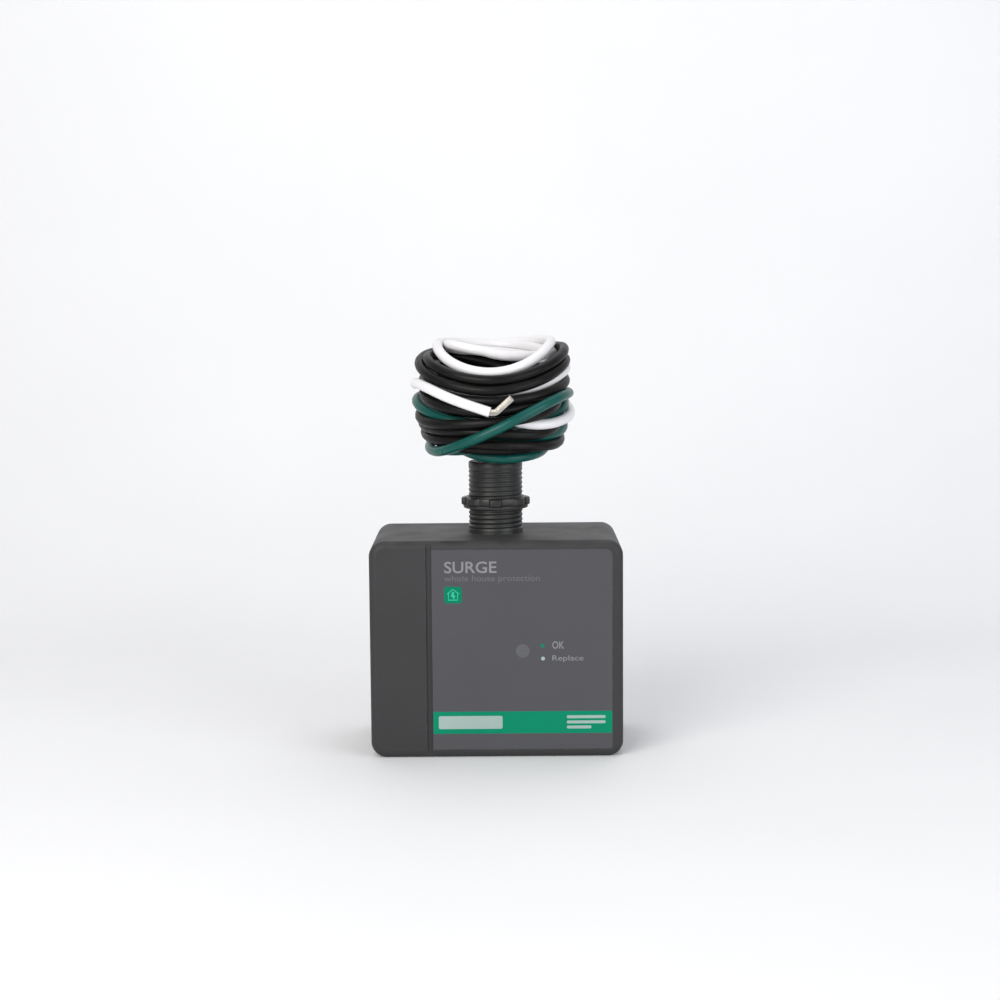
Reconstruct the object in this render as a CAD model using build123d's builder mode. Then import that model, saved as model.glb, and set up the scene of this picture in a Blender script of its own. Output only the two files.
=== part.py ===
from build123d import *

import math
import os

os.makedirs("parts", exist_ok=True)

# Whole house surge protector, millimetres. It stands on its bottom face with the front towards -Y,
# the origin at the middle of the bottom face and the conduit nipple pointing up.

# case
case_width = 98.0
case_height = 84.7
case_depth = 60.0
cover_depth = 14.0
wall = 3.0
corner_radius = 6.0
edge_fillet = 3.0
seat_gap = 0.05
slip_gap = 0.15
# how far a cut or a join runs past the face it meets
overrun = 1.0
root = 0.5

# tongue and gasket between housing and cover
tongue_thickness = 1.4
tongue_length = 2.2
gasket_thickness = 0.8

# case screws, driven from the back down deep wells
boss_radius = 5.0
boss_overlap = 0.6
boss_gap = 0.3
well_depth = 26.0
case_screw_radius = 1.5
case_screw_grip = 6.0
case_screw_head_radius = 2.8
case_screw_head_height = 2.2
well_gap = 0.5
screw_edge_fillet = 0.6
cross_length = 3.0
cross_width = 0.8
cross_depth = 1.2

# front face
groove_left = -27.1
groove_width = 2.3
groove_depth = 0.8
label_margin = 3.3
label_right_margin = 4.3
label_corner_radius = 2.7
label_small_radius = 0.8
label_recess = 0.3
label_thickness = 0.25
window_x = 10.1
window_z = 41.9
window_radius = 2.75
pipe_radius = 2.0
pipe_gap = 0.6
socket_radius = 4.0
socket_length = 6.0

# rating label on the back
rear_label_width = 58.0
rear_label_height = 38.0
rear_label_radius = 1.5
rear_label_gap = 0.1

# conduit nipple, trade size 1/2: thread major radius, bore and flange
nipple_radius = 10.67
nipple_wall = 2.8
nipple_projection = 28.3
rim_chamfer = 0.6
flange_overhang = 2.83
flange_thickness = 5.0
nipple_gasket_thickness = 0.8
nipple_gasket_inset = 0.3
rib_thickness = 2.0

# retaining plate under the flange
plate_thickness = 2.0
plate_hole_gap = 0.4
plate_web = 0.73
plate_corner_radius = 3.0
plate_boss_radius = 3.5
plate_boss_gap = 1.5
plate_hole_end_gap = 0.3
plate_screw_radius = 1.5
plate_screw_head_radius = 2.7
plate_screw_head_height = 2.0
plate_screw_grip = 5.0

# sealing washer and locknut on the nipple
running_gap = 0.05
washer_height = 9.8
washer_width = 2.13
washer_thickness = 1.2
locknut_thickness = 3.2
locknut_wall = 1.53
locknut_lug_projection = 1.4
locknut_lug_width = 4.6
locknut_lugs = 8
locknut_lug_fillet = 0.5

# four leads and the rubber seal that they pass through
lead_radius = 2.0
lead_gap = 2.0
seal_length = 7.0
seal_recess = 1.0

# circuit board and what is on it
board_thickness = 1.6
board_room = 1.0
board_top_room = 0.7
board_corner_radius = 1.5
standoff_radius = 3.0
standoff_inset = 3.6
standoff_end = 6.5
board_screw_radius = 1.2
board_screw_length = 8.0
board_screw_head_radius = 2.5
board_screw_head_height = 1.6
board_screw_fillet = 0.5
bay_room = 0.75
varistor_thickness = 8.0
varistor_corner_radius = 3.0
varistor_fillet = 1.0
varistor_stand = 1.4
varistor_gap = 1.1
varistor_leg_radius = 0.5
varistor_leg_pitch = 10.0
thermal_fuse_radius = 2.0
thermal_fuse_length = 11.0
capacitor_width = 20.0
capacitor_depth = 12.0
capacitor_height = 16.0
capacitor_fillet = 1.0
line_fuse_radius = 3.0
line_fuse_length = 18.0
line_fuse_height = 6.0
fuse_cap_radius = 3.2
fuse_cap_length = 6.0
clip_thickness = 0.5
clip_width = 5.0
led_radius = 2.5
led_rim = 0.4
led_rim_thickness = 1.0
led_length = 8.6
resistor_radius = 1.6
resistor_length = 8.0
resistor_pitch = 4.0
diode_radius = 1.4
diode_length = 6.0
diode_pitch = 3.7
diode_x = 32.4
small_part_z = 31.0
sheet_thickness = 0.3

# terminal lugs, one for each lead
lug_wall = 1.2
lug_barrel = 8.0
lug_foot = 4.0
lug_tang_thickness = 1.2
lug_overlap = 0.6
lug_entry = 7.0
lug_drop = 18.5
inner_bend = 8.0
inner_turn_down = 2.0
inner_turn_in = 6.0

# coil of spare lead length, leaning forward over the nipple
coil_lean = 11.0
coil_lift = 22.8
coil_shift = -1.0
coil_bore_radius = 19.5
coil_foot_radius = 23.5
coil_belly_radius = 33.4
coil_shoulder_radius = 30.5
coil_half_height = 18.6
coil_belly_height = -0.1
coil_edge = 2.0
coil_shoulder_step = 4.0
coil_bore_edge = 3.0
coil_foot_step = 1.0
bare_end_radius = 1.3
bare_end_length = 10.5

# planes and heights that several pieces share
mid_height = case_height / 2
front_y = -case_depth / 2
back_y = case_depth / 2
joint_y = front_y + cover_depth
inner_front_y = front_y + wall
inner_back_y = back_y - wall
cavity_width = case_width - 2 * wall
cavity_height = case_height - 2 * wall
ceiling_z = case_height - wall
rebate_width = tongue_thickness + seat_gap
rebate_depth = tongue_length + gasket_thickness
well_floor_y = back_y - well_depth
boss_x = cavity_width / 2 - boss_radius + boss_overlap
boss_rise = cavity_height / 2 - boss_radius + boss_overlap

flange_flats = 2 * (nipple_radius + flange_overhang)
flange_top_z = ceiling_z - nipple_gasket_thickness
flange_bottom_z = flange_top_z - flange_thickness
flange_corner_radius = flange_flats / math.sqrt(3)
plate_bottom_z = flange_bottom_z - plate_thickness
plate_screw_x = flange_corner_radius + plate_boss_radius + plate_boss_gap
nipple_bore_radius = nipple_radius - nipple_wall
plate_hole_radius = nipple_bore_radius + plate_hole_gap
plate_depth = 2 * (plate_hole_radius + plate_web)
nipple_top_z = case_height + nipple_projection
seal_top_z = nipple_top_z - seal_recess
washer_bottom_z = case_height + washer_height
locknut_bottom_z = washer_bottom_z + washer_thickness
washer_radius = nipple_radius + washer_width
locknut_radius = nipple_radius + locknut_wall
locknut_lug_radius = locknut_radius + locknut_lug_projection

lead_offset = lead_radius + lead_gap / 2
lug_radius = lead_radius + lug_wall
board_front_y = lead_offset + lead_radius + board_room
board_back_y = board_front_y + board_thickness
board_bottom_z = wall + 2 * boss_radius - boss_overlap + board_room
board_top_z = plate_bottom_z - plate_screw_head_height - board_top_room
board_width = cavity_width - 2 * board_room
standoff_x = board_width / 2 - standoff_inset
standoff_low_z = board_bottom_z + standoff_end
standoff_high_z = board_top_z - standoff_end
standoff_places = [(x, z) for x in (-standoff_x, standoff_x) for z in (standoff_low_z, standoff_high_z)]
line_fuse_x = (standoff_x - board_screw_head_radius) / 2

lug_top_z = board_top_z - lug_drop
lug_y = board_front_y - lug_tang_thickness - lug_radius + lug_overlap
coil_centre = Vector(coil_shift, 0, nipple_top_z + coil_lift)
coil_up = Vector(0, -math.sin(math.radians(coil_lean)), math.cos(math.radians(coil_lean)))
coil_back = Vector(0, math.cos(math.radians(coil_lean)), math.sin(math.radians(coil_lean)))


def facing_front(y):
    """Plane at depth y with local x along +X and local y along +Z; it extrudes towards the front."""
    return Plane.XZ.offset(-y)


def case_outline(inset):
    """Rounded outline of the case, moved in from its outer surface."""
    with Locations((0, mid_height)):
        RectangleRounded(case_width - 2 * inset, case_height - 2 * inset, corner_radius - inset)


def ring_outline(outer_inset, inner_inset):
    """Closed band that follows the outline of the case."""
    case_outline(outer_inset)
    with Locations((0, mid_height)):
        RectangleRounded(
            case_width - 2 * inner_inset,
            case_height - 2 * inner_inset,
            corner_radius - inner_inset,
            mode=Mode.SUBTRACT,
        )


def boss_circles(radius):
    """One circle at each of the four case screws."""
    with Locations((0, mid_height)):
        with GridLocations(2 * boss_x, 2 * boss_rise, 2, 2):
            Circle(radius)


def standoff_circles(radius, mode=Mode.ADD):
    """One circle at each of the four board standoffs."""
    with Locations(*standoff_places):
        Circle(radius, mode=mode)


def save(part, name):
    """Labels a finished piece and writes it to its own file."""
    part.label = name
    export_step(part, f"parts/{name}.step")


# ---- case ----

with BuildPart() as rear_housing:
    with BuildSketch(facing_front(back_y)):
        case_outline(0)
    extrude(amount=case_depth - cover_depth)
    fillet(rear_housing.faces().sort_by(Axis.Y)[-1].edges(), edge_fillet)
    with BuildSketch(facing_front(inner_back_y)):
        case_outline(wall)
    extrude(amount=inner_back_y - joint_y, mode=Mode.SUBTRACT)
    with BuildSketch(facing_front(inner_back_y)):
        boss_circles(boss_radius)
    extrude(amount=inner_back_y - joint_y - boss_gap)
    with BuildSketch(facing_front(joint_y + rebate_depth)):
        ring_outline(wall - rebate_width, wall)
    extrude(amount=rebate_depth, mode=Mode.SUBTRACT)
    # wells for the screw heads, then the shank holes
    with BuildSketch(facing_front(back_y)):
        boss_circles(case_screw_head_radius + well_gap)
    extrude(amount=well_depth, mode=Mode.SUBTRACT)
    with BuildSketch(facing_front(back_y)):
        boss_circles(case_screw_radius + slip_gap)
    extrude(amount=case_depth, mode=Mode.SUBTRACT)
    # standoffs for the circuit board
    with BuildSketch(facing_front(inner_back_y)):
        standoff_circles(standoff_radius)
    extrude(amount=inner_back_y - board_back_y)
    with BuildSketch(facing_front(board_back_y)):
        standoff_circles(board_screw_radius + seat_gap)
    extrude(amount=-board_screw_length, mode=Mode.SUBTRACT)
    # hole for the nipple, ribs that stop its flange turning, bosses for the retaining plate
    with BuildSketch(Plane.XY.offset(ceiling_z - overrun)):
        Circle(nipple_radius + slip_gap)
    extrude(amount=wall + 2 * overrun, mode=Mode.SUBTRACT)
    with BuildSketch(Plane.XY.offset(ceiling_z + root)):
        with Locations((0, (flange_flats + rib_thickness) / 2 + slip_gap)):
            Rectangle(flange_corner_radius, rib_thickness)
        with Locations((-plate_screw_x, 0), (plate_screw_x, 0)):
            Circle(plate_boss_radius)
    extrude(amount=flange_bottom_z - ceiling_z - root)
    with BuildSketch(Plane.XY.offset(flange_bottom_z)):
        with Locations((-plate_screw_x, 0), (plate_screw_x, 0)):
            Circle(plate_screw_radius + seat_gap)
    extrude(amount=plate_screw_grip + plate_hole_end_gap, mode=Mode.SUBTRACT)
    # shallow recess for the rating label
    with BuildSketch(facing_front(back_y)):
        with Locations((0, mid_height)):
            RectangleRounded(
                rear_label_width + 2 * rear_label_gap,
                rear_label_height + 2 * rear_label_gap,
                rear_label_radius + rear_label_gap,
            )
    extrude(amount=label_recess, mode=Mode.SUBTRACT)
save(rear_housing.part, "rear_housing")


def label_outline(grow):
    """Front label: square at the groove, rounded at the right, a little larger for its recess."""
    left = groove_left + groove_width
    right = case_width / 2 - label_right_margin
    height = case_height - 2 * label_margin
    with BuildSketch(mode=Mode.PRIVATE) as outline:
        with Locations(((left + right) / 2, mid_height)):
            Rectangle(right - left + 2 * grow, height + 2 * grow)
        right_corners = outline.vertices().group_by(Axis.X)[-1].sort_by(Axis.Y)
        fillet(right_corners[-1], label_corner_radius)
        fillet(outline.vertices().group_by(Axis.X)[-1].sort_by(Axis.Y)[0], label_small_radius)
    return outline.sketch


with BuildPart() as front_cover:
    with BuildSketch(facing_front(joint_y)):
        case_outline(0)
    extrude(amount=cover_depth)
    fillet(front_cover.faces().sort_by(Axis.Y)[0].edges(), edge_fillet)
    with BuildSketch(facing_front(joint_y)):
        case_outline(wall)
    extrude(amount=cover_depth - wall, mode=Mode.SUBTRACT)
    with BuildSketch(facing_front(joint_y)):
        ring_outline(wall - tongue_thickness, wall)
    extrude(amount=-tongue_length)
    with BuildSketch(facing_front(joint_y)):
        boss_circles(boss_radius)
    extrude(amount=cover_depth - wall + root)
    with BuildSketch(facing_front(joint_y)):
        boss_circles(case_screw_radius + seat_gap)
    extrude(amount=case_screw_grip + overrun, mode=Mode.SUBTRACT)
    # socket and hole for the light pipe
    with BuildSketch(facing_front(inner_front_y + socket_length)):
        with Locations((window_x, window_z)):
            Circle(socket_radius)
    extrude(amount=socket_length + root)
    with BuildSketch(facing_front(inner_front_y + socket_length)):
        with Locations((window_x, window_z)):
            Circle(pipe_radius + seat_gap)
    extrude(amount=socket_length + wall, mode=Mode.SUBTRACT)
    with BuildSketch(facing_front(inner_front_y)):
        with Locations((window_x, window_z)):
            Circle(window_radius + seat_gap)
    extrude(amount=wall, mode=Mode.SUBTRACT)
    # groove between the plain panel and the label field
    with BuildSketch(facing_front(front_y + groove_depth)):
        with Locations((groove_left + groove_width / 2, mid_height)):
            Rectangle(groove_width, case_height)
    extrude(amount=groove_depth + overrun, mode=Mode.SUBTRACT)
    with BuildSketch(facing_front(front_y + label_recess)):
        add(label_outline(seat_gap))
    extrude(amount=label_recess + overrun, mode=Mode.SUBTRACT)
save(front_cover.part, "front_cover")

with BuildPart() as cover_gasket:
    with BuildSketch(facing_front(joint_y + rebate_depth)):
        ring_outline(wall - rebate_width + seat_gap, wall - seat_gap)
    extrude(amount=gasket_thickness)
save(cover_gasket.part, "cover_gasket")

with BuildPart() as case_screws:
    with BuildSketch(facing_front(well_floor_y + case_screw_head_height)):
        boss_circles(case_screw_head_radius)
    extrude(amount=case_screw_head_height)
    fillet(case_screws.faces().filter_by(Axis.Y).group_by(Axis.Y)[-1].edges(), screw_edge_fillet)
    with BuildSketch(facing_front(well_floor_y)):
        boss_circles(case_screw_radius)
    extrude(amount=well_floor_y - joint_y + case_screw_grip)
    # cross recess in each head
    with BuildSketch(facing_front(well_floor_y + case_screw_head_height)):
        with Locations((0, mid_height)):
            with GridLocations(2 * boss_x, 2 * boss_rise, 2, 2):
                Rectangle(cross_length, cross_width)
                Rectangle(cross_width, cross_length)
    extrude(amount=cross_depth, mode=Mode.SUBTRACT)
save(case_screws.part, "case_screws")

with BuildPart() as front_label:
    with BuildSketch(facing_front(front_y + label_recess)):
        add(label_outline(0))
        with Locations((window_x, window_z)):
            Circle(window_radius + seat_gap, mode=Mode.SUBTRACT)
    extrude(amount=label_thickness)
save(front_label.part, "front_label")

with BuildPart() as rear_label:
    with BuildSketch(facing_front(back_y - label_recess + label_thickness)):
        with Locations((0, mid_height)):
            RectangleRounded(rear_label_width, rear_label_height, rear_label_radius)
    extrude(amount=label_thickness)
save(rear_label.part, "rear_label")

# ---- status lamp and its light pipe ----

led_tip_y = board_front_y - led_length
pipe_front_y = front_y + label_recess - label_thickness

with BuildPart() as light_pipe:
    with BuildSketch(facing_front(led_tip_y - pipe_gap)):
        with Locations((window_x, window_z)):
            Circle(pipe_radius)
    extrude(amount=led_tip_y - pipe_gap - inner_front_y)
    with BuildSketch(facing_front(inner_front_y)):
        with Locations((window_x, window_z)):
            Circle(window_radius)
    extrude(amount=inner_front_y - pipe_front_y)
save(light_pipe.part, "light_pipe")

with BuildPart() as status_led:
    with BuildSketch(facing_front(board_front_y)):
        with Locations((window_x, window_z)):
            Circle(led_radius + led_rim)
    extrude(amount=led_rim_thickness)
    with BuildSketch(facing_front(board_front_y)):
        with Locations((window_x, window_z)):
            Circle(led_radius)
    extrude(amount=led_length)
    fillet(status_led.faces().sort_by(Axis.Y)[0].edges(), led_radius - 0.1)
save(status_led.part, "status_led")

# ---- conduit nipple and what holds it ----

with BuildPart() as threaded_nipple:
    with BuildSketch(Plane.XY.offset(flange_bottom_z)):
        RegularPolygon(flange_flats / 2, 6, major_radius=False)
    extrude(amount=flange_thickness)
    with BuildSketch(Plane.XY.offset(flange_bottom_z)):
        Circle(nipple_radius)
    extrude(amount=nipple_top_z - flange_bottom_z)
    with BuildSketch(Plane.XY.offset(flange_bottom_z)):
        Circle(nipple_bore_radius)
    extrude(amount=nipple_top_z - flange_bottom_z, mode=Mode.SUBTRACT)
    chamfer(threaded_nipple.faces().sort_by(Axis.Z)[-1].edges(), rim_chamfer)
save(threaded_nipple.part, "threaded_nipple")

with BuildPart() as nipple_gasket:
    with BuildSketch(Plane.XY.offset(flange_top_z)):
        Circle(flange_flats / 2 - nipple_gasket_inset)
        Circle(nipple_radius + slip_gap, mode=Mode.SUBTRACT)
    extrude(amount=nipple_gasket_thickness)
save(nipple_gasket.part, "nipple_gasket")

with BuildPart() as retaining_plate:
    with BuildSketch(Plane.XY.offset(plate_bottom_z)):
        RectangleRounded(2 * (plate_screw_x + plate_boss_radius), plate_depth, plate_corner_radius)
        Circle(plate_hole_radius, mode=Mode.SUBTRACT)
        with Locations((-plate_screw_x, 0), (plate_screw_x, 0)):
            Circle(plate_screw_radius + slip_gap, mode=Mode.SUBTRACT)
    extrude(amount=plate_thickness)
save(retaining_plate.part, "retaining_plate")

with BuildPart() as plate_screws:
    with BuildSketch(Plane.XY.offset(plate_bottom_z - plate_screw_head_height)):
        with Locations((-plate_screw_x, 0), (plate_screw_x, 0)):
            Circle(plate_screw_head_radius)
    extrude(amount=plate_screw_head_height)
    fillet(plate_screws.faces().filter_by(Axis.Z).group_by(Axis.Z)[0].edges(), screw_edge_fillet)
    with BuildSketch(Plane.XY.offset(plate_bottom_z)):
        with Locations((-plate_screw_x, 0), (plate_screw_x, 0)):
            Circle(plate_screw_radius)
    extrude(amount=plate_thickness + plate_screw_grip)
save(plate_screws.part, "plate_screws")

with BuildPart() as wire_seal:
    with BuildSketch(Plane.XY.offset(seal_top_z - seal_length)):
        Circle(nipple_bore_radius - seat_gap)
        with GridLocations(2 * lead_offset, 2 * lead_offset, 2, 2):
            Circle(lead_radius + seat_gap, mode=Mode.SUBTRACT)
    extrude(amount=seal_length)
save(wire_seal.part, "wire_seal")

# ---- sealing washer and locknut, which screw along the nipple ----

with BuildPart() as sealing_washer:
    with BuildSketch(Plane.XY.offset(washer_bottom_z)):
        Circle(washer_radius)
        Circle(nipple_radius + running_gap, mode=Mode.SUBTRACT)
    extrude(amount=washer_thickness)
save(sealing_washer.part, "sealing_washer")

with BuildPart() as locknut:
    with BuildSketch(Plane.XY.offset(locknut_bottom_z)):
        Circle(locknut_radius)
        with PolarLocations(locknut_lug_radius / 2, locknut_lugs):
            Rectangle(locknut_lug_radius, locknut_lug_width)
        Circle(nipple_radius + running_gap, mode=Mode.SUBTRACT)
    extrude(amount=locknut_thickness)
    fillet(locknut.edges().filter_by(Axis.Z).group_by(SortBy.DISTANCE)[-1], locknut_lug_fillet)
save(locknut.part, "locknut")

# ---- circuit board ----

with BuildPart() as circuit_board:
    with BuildSketch(facing_front(board_back_y)):
        with Locations((0, (board_bottom_z + board_top_z) / 2)):
            RectangleRounded(board_width, board_top_z - board_bottom_z, board_corner_radius)
        standoff_circles(board_screw_radius + slip_gap, mode=Mode.SUBTRACT)
    extrude(amount=board_thickness)
save(circuit_board.part, "circuit_board")

with BuildPart() as board_screws:
    with BuildSketch(facing_front(board_front_y)):
        standoff_circles(board_screw_head_radius)
    extrude(amount=board_screw_head_height)
    fillet(board_screws.faces().filter_by(Axis.Y).group_by(Axis.Y)[0].edges(), board_screw_fillet)
    with BuildSketch(facing_front(board_front_y)):
        standoff_circles(board_screw_radius)
    extrude(amount=-(board_thickness + board_screw_length - overrun))
save(board_screws.part, "board_screws")

# six places behind the board: five varistors and the film capacitor
bay_pitch = 2 * (standoff_x - standoff_radius - bay_room) / 3
bay_rise = (board_top_z - board_bottom_z - 2 * board_room) / 2
bay_mid_z = (board_top_z + board_bottom_z) / 2
varistor_width = bay_pitch - varistor_gap
varistor_height = bay_rise - varistor_gap
varistor_front_y = board_back_y + varistor_stand
varistor_back_y = varistor_front_y + varistor_thickness
varistor_bays = {
    "varistor_l1_n": (-1, 1),
    "varistor_l2_n": (1, 1),
    "varistor_l1_g": (-1, -1),
    "varistor_n_g": (0, -1),
    "varistor_l2_g": (1, -1),
}


def bay_place(column, row):
    """Middle of one of the six places behind the board, as x and z."""
    return (column * bay_pitch, bay_mid_z + row * bay_rise / 2)


for varistor_name, bay in varistor_bays.items():
    with BuildPart() as varistor:
        with BuildSketch(facing_front(varistor_back_y)):
            with Locations(bay_place(*bay)):
                RectangleRounded(varistor_width, varistor_height, varistor_corner_radius)
        extrude(amount=varistor_thickness)
        fillet(varistor.faces().sort_by(Axis.Y)[0].edges(), varistor_fillet)
        fillet(varistor.faces().sort_by(Axis.Y)[-1].edges(), varistor_fillet)
    save(varistor.part, varistor_name)

with BuildPart() as varistor_legs:
    with BuildSketch(facing_front(varistor_front_y)):
        with Locations(*[bay_place(*bay) for bay in varistor_bays.values()]):
            with GridLocations(varistor_leg_pitch, 1, 2, 1):
                Circle(varistor_leg_radius)
    extrude(amount=varistor_stand)
save(varistor_legs.part, "varistor_legs")

with BuildPart() as thermal_fuses:
    for bay in varistor_bays.values():
        bay_x, bay_z = bay_place(*bay)
        with BuildSketch(Plane.XY.offset(bay_z - thermal_fuse_length / 2)):
            with Locations((bay_x, varistor_back_y + thermal_fuse_radius)):
                Circle(thermal_fuse_radius)
        extrude(amount=thermal_fuse_length)
save(thermal_fuses.part, "thermal_fuses")

with BuildPart() as film_capacitor:
    with BuildSketch(facing_front(board_back_y + capacitor_depth)):
        with Locations(bay_place(0, 1)):
            Rectangle(capacitor_width, capacitor_height)
    extrude(amount=capacitor_depth)
    fillet(film_capacitor.edges().filter_by(Axis.Y), capacitor_fillet)
save(film_capacitor.part, "film_capacitor")

# line fuses across the foot of the board, held by clips over their end caps
fuse_z = board_bottom_z + line_fuse_height
fuse_y = board_front_y - clip_thickness - fuse_cap_radius
cap_middle = line_fuse_length / 2 + fuse_cap_length / 2
cap_xs = [side * line_fuse_x + end * cap_middle for side in (-1, 1) for end in (-1, 1)]

with BuildPart() as line_fuses:
    for side in (-1, 1):
        with BuildSketch(Plane.YZ.offset(side * line_fuse_x - line_fuse_length / 2)):
            with Locations((fuse_y, fuse_z)):
                Circle(line_fuse_radius)
        extrude(amount=line_fuse_length)
save(line_fuses.part, "line_fuses")

with BuildPart() as fuse_caps:
    for cap_x in cap_xs:
        with BuildSketch(Plane.YZ.offset(cap_x - fuse_cap_length / 2)):
            with Locations((fuse_y, fuse_z)):
                Circle(fuse_cap_radius)
        extrude(amount=fuse_cap_length)
save(fuse_caps.part, "fuse_caps")

clip_bore = fuse_cap_radius + seat_gap
with BuildPart() as fuse_clips:
    for cap_x in cap_xs:
        with BuildSketch(Plane.YZ.offset(cap_x - clip_width / 2)):
            with Locations(((fuse_y + board_front_y) / 2, fuse_z)):
                Rectangle(board_front_y - fuse_y, 2 * (clip_bore + clip_thickness))
            with Locations((fuse_y, fuse_z)):
                Circle(clip_bore, mode=Mode.SUBTRACT)
        extrude(amount=clip_width)
save(fuse_clips.part, "fuse_clips")

# small parts of the lamp's circuit stand upright against the front of the board
with BuildPart() as resistors:
    with BuildSketch(Plane.XY.offset(small_part_z - resistor_length / 2)):
        with Locations((window_x, board_front_y - resistor_radius)):
            with GridLocations(resistor_pitch, 1, 3, 1):
                Circle(resistor_radius)
    extrude(amount=resistor_length)
save(resistors.part, "resistors")

with BuildPart() as diodes:
    with BuildSketch(Plane.XY.offset(small_part_z - diode_length / 2)):
        with Locations((diode_x, board_front_y - diode_radius)):
            with GridLocations(diode_pitch, 1, 2, 1):
                Circle(diode_radius)
    extrude(amount=diode_length)
save(diodes.part, "diodes")

with BuildPart() as insulating_sheet:
    with BuildSketch(facing_front(inner_back_y)):
        with Locations((0, (board_bottom_z + board_top_z) / 2)):
            Rectangle(board_width, board_top_z - board_bottom_z)
        standoff_circles(standoff_radius + slip_gap, mode=Mode.SUBTRACT)
    extrude(amount=sheet_thickness)
save(insulating_sheet.part, "insulating_sheet")

# ---- leads inside the case, each from the top of the seal to its lug ----

# corner of the seal that each lead comes through, and the x of its lug
lead_corners = {
    "black_lead_a": (-lead_offset, lead_offset),
    "black_lead_b": (-lead_offset, -lead_offset),
    "white_lead": (lead_offset, -lead_offset),
    "green_lead": (lead_offset, lead_offset),
}
lug_xs = {"black_lead_a": -19.0, "black_lead_b": -33.0, "white_lead": -5.0, "green_lead": 24.0}

with BuildPart() as terminal_lugs:
    for lug_x in lug_xs.values():
        with BuildSketch(Plane.XY.offset(lug_top_z - lug_barrel - lug_foot)):
            with Locations((lug_x, board_front_y - lug_tang_thickness / 2)):
                Rectangle(2 * lug_radius, lug_tang_thickness)
        extrude(amount=lug_barrel + lug_foot)
        with BuildSketch(Plane.XY.offset(lug_top_z - lug_barrel)):
            with Locations((lug_x, lug_y)):
                Circle(lug_radius)
        extrude(amount=lug_barrel)
        with BuildSketch(Plane.XY.offset(lug_top_z - lug_entry)):
            with Locations((lug_x, lug_y)):
                Circle(lead_radius + seat_gap)
        extrude(amount=lug_entry, mode=Mode.SUBTRACT)
save(terminal_lugs.part, "terminal_lugs")

for lead_name, corner in lead_corners.items():
    lug_x = lug_xs[lead_name]
    turn_down_z = plate_bottom_z - inner_turn_down
    turn_in_z = lug_top_z + inner_turn_in
    with BuildPart() as inner_lead:
        with BuildLine() as inner_route:
            FilletPolyline(
                (*corner, seal_top_z),
                (*corner, turn_down_z),
                (lug_x, lug_y, turn_in_z),
                (lug_x, lug_y, lug_top_z - lug_entry),
                radius=inner_bend,
            )
        with BuildSketch(Plane.XY.offset(seal_top_z)):
            with Locations(corner):
                Circle(lead_radius)
        sweep(path=inner_route.line)
    save(inner_lead.part, f"{lead_name}_inner")

# ---- free leads: each rises out of the seal and curves out into the coil ----

# how far each lead rises straight out of the seal, then its points; heights are above the seal
free_rises = {"black_lead_a": 9.0, "black_lead_b": 8.0, "white_lead": 10.0, "green_lead": 7.5}
free_routes = {
    "black_lead_a": [(-1, 8, 17), (-6, 15, 24.3), (-14.5, 18, 29.3)],
    "black_lead_b": [(-8, -1.5, 15), (-15, -6, 20.3), (-18, -15, 22.3)],
    "white_lead": [(1.5, -8, 18.5), (6.5, -14.5, 25.8), (15, -17.5, 29.8)],
    "green_lead": [(8.5, 1.5, 14.2), (15.5, 6, 18.8), (18.5, 15, 21.3)],
}
bend_share = 0.45


def bend_radii(points):
    """Largest arc at each corner that leaves a share of the shorter run beside it."""
    radii = []
    for before, corner, after in zip(points, points[1:], points[2:]):
        run_in = corner - before
        run_out = after - corner
        half_turn = math.radians(run_in.get_angle(run_out)) / 2
        radii.append(bend_share * min(run_in.length, run_out.length) / math.tan(half_turn))
    return radii


for lead_name, route in free_routes.items():
    corner = lead_corners[lead_name]
    rise = [(*corner, 0), (*corner, free_rises[lead_name])]
    points = [Vector(x, y, seal_top_z + z) for x, y, z in rise + route]
    radii = bend_radii(points)
    with BuildPart() as free_lead:
        with BuildLine() as free_route:
            FilletPolyline(*points, radius=radii)
        with BuildSketch(Plane.XY.offset(seal_top_z)):
            with Locations((points[0].X, points[0].Y)):
                Circle(lead_radius)
        sweep(path=free_route.line)
    save(free_lead.part, lead_name)
    length = free_route.wire().length
    section = math.pi * lead_radius**2
    print(lead_name, "radii", [round(r, 1) for r in radii], "length", round(length, 1))
    print("  volume", round(free_lead.part.volume), "section times length", round(section * length))

# outer shape of all the turns: a barrel-shaped ring
with BuildPart() as wire_coil:
    with BuildSketch(Plane(origin=coil_centre, x_dir=(1, 0, 0), z_dir=coil_back * -1)):
        with BuildLine():
            Polyline(
                (coil_shoulder_radius, coil_half_height - coil_edge),
                (coil_shoulder_radius - coil_shoulder_step, coil_half_height),
                (coil_bore_radius + coil_edge, coil_half_height),
                (coil_bore_radius, coil_half_height - coil_bore_edge),
                (coil_bore_radius, coil_bore_edge - coil_half_height),
                (coil_bore_radius + coil_foot_step, -coil_half_height),
                (coil_foot_radius, -coil_half_height),
            )
            ThreePointArc(
                (coil_foot_radius, -coil_half_height),
                (coil_belly_radius, coil_belly_height * coil_half_height),
                (coil_shoulder_radius, coil_half_height - coil_edge),
            )
        make_face()
    revolve(axis=Axis(coil_centre, coil_up))
save(wire_coil.part, "wire_coil")

# place on the coil as radius, azimuth and height, and the climb of the bare end in degrees
bare_end_places = [
    (34.0, -77.0, 7.0, 40.0),
    (20.0, -150.0, -12.0, 0.0),
    (21.0, 165.0, -14.0, 0.0),
    (22.0, -155.0, -4.0, 0.0),
]

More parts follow.
